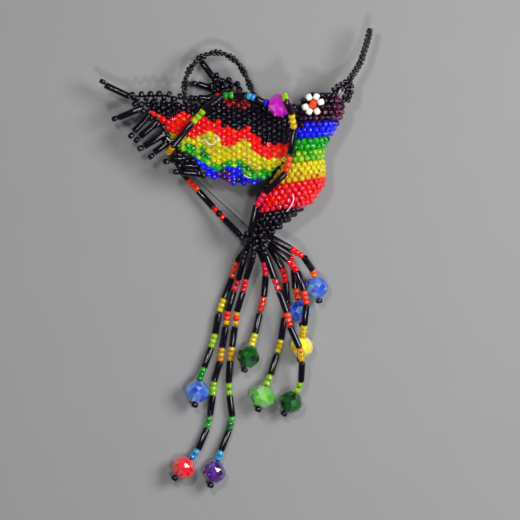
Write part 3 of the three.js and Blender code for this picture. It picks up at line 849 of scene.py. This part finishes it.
def crystal_end(piles, name, last, spec, rng):
    """The thread on through the crystal to the stopper bead, and the crystal as a piece of its own."""
    along = (Vector(spec["end"]) - last).normalized()
    half = spec.get("half", CRYSTAL_HALF)
    centre = last + along * (half + GAP)
    stopper = centre + along * (half + GAP + STOPPER_HALF)
    pile_for(piles, "dark_thread").tube([last, stopper + along * THREAD_TAIL], THREAD_R)
    add_seed(piles, "black", stopper, along, rng)
    look, radius = spec["crystal"]
    gem = Pile()
    gem.add(RONDELLE, centre, along, radius, 2 * half, MID_TONE, rng.uniform(0, 1))
    node = f"{name}_crystal"
    finish_piece(gem, f"{node}_{look}", node, look, random.Random(name))


def build_strand(name, spec):
    """A strand as one link, or as an upper and a lower link that meet at its knee."""
    rng = random.Random(name)
    points = [Vector(p) for p in spec["route"]]
    letters, colours, knee = spec["letters"], spec["colours"], spec.get("knee")
    if knee is None:
        whole = {}
        strand_link(whole, points, letters, colours, rng)
        links = {name: whole}
    else:
        upper, lower = {}, {}
        pin = points[knee]
        before = pin + (points[knee - 1] - pin).normalized() * KNEE_GAP
        after = pin + (points[knee + 1] - pin).normalized() * KNEE_GAP
        split = letters[:knee].count("s")
        strand_link(upper, points[:knee] + [before], letters[:knee], colours[:split], rng)
        strand_link(lower, [after] + points[knee + 1 :], letters[knee:], colours[split:], rng)
        pile_for(upper, "dark_thread").tube([before, pin], THREAD_R)
        pile_for(lower, "dark_thread").tube([pin, after], THREAD_R)
        links = {f"{name}_upper": upper, f"{name}_lower": lower}
    if "end" in spec:
        crystal_end(list(links.values())[-1], name, points[-1], spec, rng)
    for node, piles in links.items():
        finish_node(node, piles)


# ---- the body
def body_sections():
    """The CAD body's outline, from its rings of vertices: Y, then centre and half size in X and in Z."""
    rings = {}
    for node, _ in BODY_BANDS:
        for vertex in frame["nodes"][node].data.vertices:
            rings.setdefault(round(vertex.co.y, 5), []).append(vertex.co)
    rows = []
    for y, found in sorted(rings.items()):
        xs, zs = [v.x for v in found], [v.z for v in found]
        if max(xs) - min(xs) > MM:
            half_x, half_z = (max(xs) - min(xs)) / 2, (max(zs) - min(zs)) / 2
            rows.append((y, min(xs) + half_x, half_x, min(zs) + half_z, half_z))
    return np.array(rows)


def section_at(sections, y):
    """Centre and half size in X and in Z at a place along Y."""
    return [float(np.interp(y, sections[:, 0], sections[:, i])) for i in range(1, 5)]


def row_tilt(y_mm):
    """How far a row climbs towards +X: the belly's rounds lean more than the throat's."""
    return float(np.interp(y_mm, TILT_PLACES, TILTS))


def body_bead_look(look, turn, y_mm, rng):
    """The spine is black, the crown turns wine red towards the beak, and a few beads take the next shade;
    towards the back the darker shades come far more often, as painted shade.
    """
    forward = math.cos(turn)
    if look == "plum":
        return "wine" if rng.random() < WINE_SHARE + WINE_GAIN * forward else "plum"
    if look != "black" and y_mm < SPINE_END and forward < SPINE_EDGE:
        return "black"
    if look in BODY_SHADES:
        other, behind, ahead = BODY_SHADES[look]
        # towards the back the darker shades come far more often: painted shade on the side away from the key
        # lamp
        if rng.random() < (behind if forward < BACK_SHADE_EDGE else ahead):
            return other
    return look


def body_row(piles, sections, y, look, last_x, rng):
    """One round of beads. Its top bead sits between two of the round before; returns that bead's x."""
    x, half_x, z, half_z = section_at(sections, y)
    inset, least = SHELL_DEPTH * MM, SHELL_MIN * MM
    a, b = max(half_x - inset, least), max(half_z - inset, least)
    around = 2 * math.pi * math.sqrt((a * a + b * b) / 2)
    count = max(4, round(around / (BODY_RING_PITCH * MM)))
    pitch = 2 * math.pi * a / count
    top_x = last_x + pitch / 2
    top_x -= pitch * round((top_x - x) / pitch)
    start = math.acos((top_x - x) / a)
    tilt = row_tilt(y / MM)
    for i in range(count):
        turn = start + 2 * math.pi * i / count
        spot = Vector((x + a * math.cos(turn), y + tilt * a * math.cos(turn), z + b * math.sin(turn)))
        along = Vector((-a * math.sin(turn), -tilt * a * math.sin(turn), b * math.cos(turn)))
        shade = body_bead_look(look, turn, y / MM, rng)
        centre = spot / MM + BASE_POINT
        add_seed(piles, shade, centre, along, rng, BODY_SEED_R, BODY_SEED_LENGTH, BODY_WOBBLE)
    return top_x


def body_lining(sections, low, high):
    """The inner layer of beads, seen only through the gaps, as a plain barrel in the band's colour."""
    inset, least = LINING_DEPTH * MM, LINING_MIN * MM
    verts = []
    for y in np.linspace(low, high, LINING_LEVELS):
        x, half_x, z, half_z = section_at(sections, y)
        a, b = max(half_x - inset, least), max(half_z - inset, least)
        for s in range(LINING_SIDES):
            turn = 2 * math.pi * s / LINING_SIDES
            verts.append((x + a * math.cos(turn), y, z + b * math.sin(turn)))
    faces = [face[::-1] for face in barrel_faces(LINING_LEVELS, LINING_SIDES)]
    pile = Pile()
    pile.append(np.array(verts) / MM + np.array(BASE_POINT), faces, MID_TONE)
    return pile


def tail_knot(piles, rng):
    """The knot of black beads and threads that the strands hang from."""
    for spot in TAIL_KNOT:
        add_seed(piles, "black", Vector(spot), Vector(TAIL_LEAN), rng, wobble=TAIL_WOBBLE)
    centre = Vector(TAIL_CENTRE)
    for spec in STRANDS.values():
        root = Vector(spec["route"][0])
        if root.x < TAIL_REACH_X:
            pile_for(piles, "dark_thread").tube([root, root.lerp(centre, 0.5), centre], THREAD_R)


def build_body():
    """Rounds of beads, band by band, from the tail to the crown."""
    sections = body_sections()
    top_x = 0.0
    for node, looks in BODY_BANDS:
        rng = random.Random(node)
        low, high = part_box(node)
        rows = max(1, round((high.y - low.y) / (BODY_ROW_PITCH * MM)))
        piles = {looks[0]: body_lining(sections, low.y, high.y)}
        if node == "tail_base":
            tail_knot(piles, rng)
        if node == "belly_red":
            pile_for(piles, "thread").tube(smooth_route(BELLY_THREAD), THREAD_END_R)
        for row in range(rows):
            y = low.y + (row + 0.5) / rows * (high.y - low.y)
            look = looks[min(len(looks) - 1, row * len(looks) // rows)]
            top_x = body_row(piles, sections, y, look, top_x, rng)
        finish_node(node, piles)


# ---- beak and eyes
def double_row(piles, points, radius, apart, pitch, rng):
    """Two staggered rows of small beads along a curve."""
    path = smooth_route(points)
    for i, (point, along, _) in enumerate(even_steps(path, pitch / 2)):
        side = along.cross(UP).normalized() * apart / 2
        spot = point + (side if i % 2 else -side)
        add_seed(piles, "black", spot, along, rng, radius, pitch * BEAK_FILL, BEAK_WOBBLE)
    pile_for(piles, "dark_thread").tube(path, THREAD_R)


def build_beak():
    """The beak and the two branches it parts into over the head."""
    rng = random.Random("beak")
    piles = {}
    double_row(piles, BEAK_CURVE, BEAK_BEAD_R, BEAK_APART, BEAK_PITCH, rng)
    for line in BEAK_BRANCHES:
        double_row(piles, line, BRANCH_BEAD_R, BRANCH_APART, BRANCH_PITCH, rng)
    pile_for(piles, "thread").tube(BEAK_THREAD, THREAD_R)
    tip, before = Vector(BEAK_CURVE[-1]), Vector(BEAK_CURVE[-2])
    add_seed(piles, "black", tip, tip - before, rng, BEAK_TIP_R, BEAK_TIP_LENGTH)
    finish_node("beak", piles)


def build_eye(side):
    """A ring of pearl beads round an orange one."""
    rng = random.Random("eye" + side)
    centre = Vector((*EYE_CENTRE, EYE_HEIGHTS[side]))
    petals, middle = {}, {}
    for degrees in PETAL_TURNS:
        turn = math.radians(degrees)
        away = Vector((math.cos(turn), math.sin(turn), 0.0))
        across = Vector((-away.y, away.x, 0.0))
        spot = centre + away * PETAL_RING_R
        tone = rng.random()
        roll = rng.uniform(0, math.pi)
        pile_for(petals, "pearl").add(PETAL, spot, across, PETAL_R, PETAL_LENGTH, tone, roll)
    finish_node(f"eye_{side}_petals", petals)
    along = Vector(EYE_BEAD_AXIS)
    pile_for(middle, "vermilion").add(PETAL, centre, along, EYE_BEAD_R, EYE_BEAD_LENGTH, MID_TONE)
    finish_node(f"eye_{side}_centre", middle)


# ---- wings
def wing_height(side, x):
    """The height of the drooping wing's mid-plane."""
    hinge, droop = WINGS[side]["hinge"], WINGS[side]["droop"]
    return hinge[2] + (x - hinge[0]) * math.tan(droop)


def on_wing(side, spot):
    """The point of the wing's mid-plane over or under a spot of the plan."""
    return Vector((spot[0], spot[1], wing_height(side, spot[0])))


def band_finder(side):
    """Which colour panel of the CAD wing lies under a point, if any."""
    trees = {}
    for colour in WING_COLOURS:
        mesh = frame["nodes"][f"{side}_wing_{colour}"].data
        corners = [v.co for v in mesh.vertices]
        trees[colour] = BVHTree.FromPolygons(corners, [p.vertices for p in mesh.polygons])

    def find(x, y):
        for dx, dy in PANEL_SEARCH:
            start = Vector(place((x + dx, y + dy, ABOVE_WINGS)))
            for colour, tree in trees.items():
                if tree.ray_cast(start, -UP)[0] is not None:
                    return colour
        return None

    return find


def in_patch(patch, x, y):
    """Whether a spot of the plan lies in a patch's ranges of X and Y."""
    (left, right), (low, high) = patch
    return left < x < right and low < y < high


def wing_bead_look(colour, x, y, rng):
    """The panel's colour, but for two patches and the odd bead of the next shade."""
    if colour == "blue" and in_patch(WINE_PATCH, x, y):
        return "wine"
    if colour == "black" and in_patch(GARNET_PATCH, x, y) and rng.random() < GARNET_SHARE:
        return "garnet"
    if colour in WING_SHADES:
        other, share = WING_SHADES[colour]
        if rng.random() < share:
            return other
    return colour


def wing_lining(pile, side, colour):
    """The beads and threads behind the front layer, seen only through the gaps: a thinner CAD panel."""
    mesh = frame["nodes"][f"{side}_wing_{colour}"].data
    verts = np.array([v.co for v in mesh.vertices]) / MM + np.array(BASE_POINT)
    middle = np.array([wing_height(side, x) for x in verts[:, 0]])
    verts[:, 2] = middle + (verts[:, 2] - middle) * WING_LINING_SHARE
    pile.append(verts, [tuple(polygon.vertices) for polygon in mesh.polygons], MID_TONE)


def wing_corners(side):
    """The lowest and highest corner of the wing's panels together, in layout millimetres."""
    boxes = [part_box(f"{side}_wing_{colour}") for colour in WING_COLOURS]
    low = Vector([min(b[0][i] for b in boxes) for i in range(3)])
    high = Vector([max(b[1][i] for b in boxes) for i in range(3)])
    return low / MM + BASE_POINT, high / MM + BASE_POINT


def wing_column(nodes, side, x_line, y_start, rows, find, rng):
    """One column of beads on the wing. Returns each bead's panel and place."""
    placed = []
    for j in range(rows):
        x = x_line + rng.uniform(-WING_DRIFT, WING_DRIFT)
        y = y_start + j * WING_PITCH_Y + rng.uniform(-WING_DRIFT, WING_DRIFT)
        colour = find(x, y)
        if colour is None:
            continue
        spot = Vector((x, y, wing_height(side, x) + rng.uniform(-WING_DEPTH_DRIFT, WING_DEPTH_DRIFT)))
        look = wing_bead_look(colour, x, y, rng)
        along = Vector((*WING_LEAN, rng.uniform(-WING_LEAN_DRIFT, WING_LEAN_DRIFT)))
        add_seed(nodes[colour], look, spot, along, rng, WING_SEED_R, WING_SEED_LENGTH, WING_WOBBLE)
        placed.append((colour, spot))
    return placed


def column_threads(nodes, placed):
    """The threads between a column's neighbours."""
    for (colour, a), (_, b) in zip(placed, placed[1:]):
        if (b - a).length < WING_THREAD_REACH:
            kind = "thread" if colour in PALE_THREAD_BANDS else "dark_thread"
            pile_for(nodes[colour], kind).tube([a, b], WING_THREAD_R)


def build_wing(side):
    """Staggered columns of beads in the colours of the CAD panels, with a lining behind them."""
    rng = random.Random("wing" + side)
    find = band_finder(side)
    nodes = {colour: {} for colour in WING_COLOURS}
    for colour, piles in nodes.items():
        wing_lining(pile_for(piles, colour), side, colour)
    low, high = wing_corners(side)
    columns = int((high.x - low.x) / WING_PITCH_X) + 2
    rows = int((high.y - low.y) / WING_PITCH_Y) + 3
    for i in range(columns):
        stagger = 0.5 if i % 2 else 0.0
        x_line = low.x + i * WING_PITCH_X
        placed = wing_column(nodes, side, x_line, low.y + stagger * WING_PITCH_Y, rows, find, rng)
        column_threads(nodes, placed)
    for colour, routes in WINGS[side].get("thread_ends", {}).items():
        for route in routes:
            pile_for(nodes[colour], "thread").tube(smooth_route(route, per_span=6), THREAD_END_R)
    for colour, piles in nodes.items():
        finish_node(f"{side}_wing_{colour}", piles)
    build_fringe(side)


def build_fringe(side):
    """The edge thread with its zigzag of beads, and the feathers."""
    rng = random.Random("fringe" + side)
    piles = {}
    edge = [on_wing(side, p) for p in WINGS[side]["edge"]]
    placed = 0
    pile_for(piles, "dark_thread").tube(edge, THREAD_R)
    for a, b in zip(edge, edge[1:]):
        count = max(1, round((b - a).length / EDGE_PITCH))
        aside = Vector((-(b - a).y, (b - a).x, 0.0)).normalized() * EDGE_ZIGZAG
        for i in range(count):
            spot = a.lerp(b, (i + 0.5) / count) + (aside if placed % 2 else -aside)
            add_seed(piles, "black", spot, b - a, rng, wobble=WING_WOBBLE)
            placed += 1
    for inner, outer, stopper in WINGS[side]["feathers"]:
        a, b, c = on_wing(side, inner), on_wing(side, outer), on_wing(side, stopper)
        bugle_stretch(piles, a, b, rng)
        pile_for(piles, "dark_thread").tube([a, b, c], THREAD_R)
        across = Vector((-(b - a).y, (b - a).x, STOPPER_TILT))
        add_seed(piles, "black", c, across, rng)
    finish_node(f"{side}_wing_fringe", piles)


# ---- the hanging loop
def build_loop():
    """Two strings of small beads twisted into a rope."""
    rng = random.Random("loop")
    piles = {}
    path = smooth_route(LOOP_ROUTE)
    for string in range(2):
        centres = []
        for point, along, gone in even_steps(path, LOOP_STEP / 2):
            turn = 2 * math.pi * gone / LOOP_LAY + string * math.pi
            side = along.cross(UP).normalized()
            centres.append(point + (side * math.cos(turn) + UP * math.sin(turn)) * LOOP_TWIST_R)
        for a, b in list(zip(centres, centres[1:]))[string::2]:
            spot = a.lerp(b, 0.5)
            add_seed(piles, "black", spot, b - a, rng, LOOP_BEAD_R, LOOP_BEAD_LENGTH, LOOP_WOBBLE)
        pile_for(piles, "dark_thread").tube(centres, THREAD_R)
    finish_node("hanging_loop", piles)


# ---- floor, light and camera
def build_stage():
    """A plain pale floor."""
    mesh = bpy.data.meshes.new("floor")
    corners = [(-1, -1), (1, -1), (1, 1), (-1, 1)]
    mesh.from_pydata([(x * FLOOR_HALF, y * FLOOR_HALF, -FLOOR_DROP) for x, y in corners], [], [(0, 1, 2, 3)])
    floor = bpy.data.objects.new("floor", mesh)
    bpy.context.scene.collection.objects.link(floor)
    made, nodes, links, shader = new_material("floor_paper")
    noise = nodes.new("ShaderNodeTexNoise")
    noise.inputs["Scale"].default_value = 400.0
    ramp = nodes.new("ShaderNodeValToRGB")
    for element, tone in zip(ramp.color_ramp.elements, FLOOR_TONES):
        element.color = tone
    links.new(noise.outputs["Fac"], ramp.inputs["Fac"])
    links.new(ramp.outputs["Color"], shader.inputs["Base Color"])
    shader.inputs["Roughness"].default_value = 0.9
    mesh.materials.append(made)


def softbox(name, place_at, size, power):
    """A square lamp that looks at the frame's origin."""
    data = bpy.data.lights.new(name, "AREA")
    data.energy = power
    data.size = size
    lamp = bpy.data.objects.new(name, data)
    lamp.location = place_at
    lamp.rotation_euler = (-Vector(place_at)).to_track_quat("-Z", "Y").to_euler()
    bpy.context.scene.collection.objects.link(lamp)


def build_light():
    """A dim room, one large soft lamp, and two small ones for the glints."""
    world = bpy.data.worlds.new("studio")
    world.use_nodes = True
    background = world.node_tree.nodes["Background"]
    background.inputs["Color"].default_value = WORLD_COLOUR
    background.inputs["Strength"].default_value = WORLD_LIGHT
    bpy.context.scene.world = world
    for name, (place_at, size, power) in LAMPS.items():
        softbox(name, place_at, size, power)
    bpy.context.scene.view_settings.view_transform = "Standard"


def build_camera():
    """Straight down on the ornament."""
    low, high = cad_box
    centre = (Vector(low) + Vector(high)) / 2 + VIEW_SHIFT
    data = bpy.data.cameras.new("camera")
    data.type = "ORTHO"
    data.ortho_scale = PHOTO_SPAN
    data.clip_end = CAMERA_REACH
    camera = bpy.data.objects.new("camera", data)
    camera.location = (centre.x, centre.y, CAMERA_HEIGHT)
    bpy.context.scene.collection.objects.link(camera)
    bpy.context.scene.camera = camera


build_camera()
build_body()
build_beak()
for side in ("near", "far"):
    build_eye(side)
    build_wing(side)
build_loop()
for strand_name, strand_spec in STRANDS.items():
    build_strand(strand_name, strand_spec)
build_stage()
build_light()
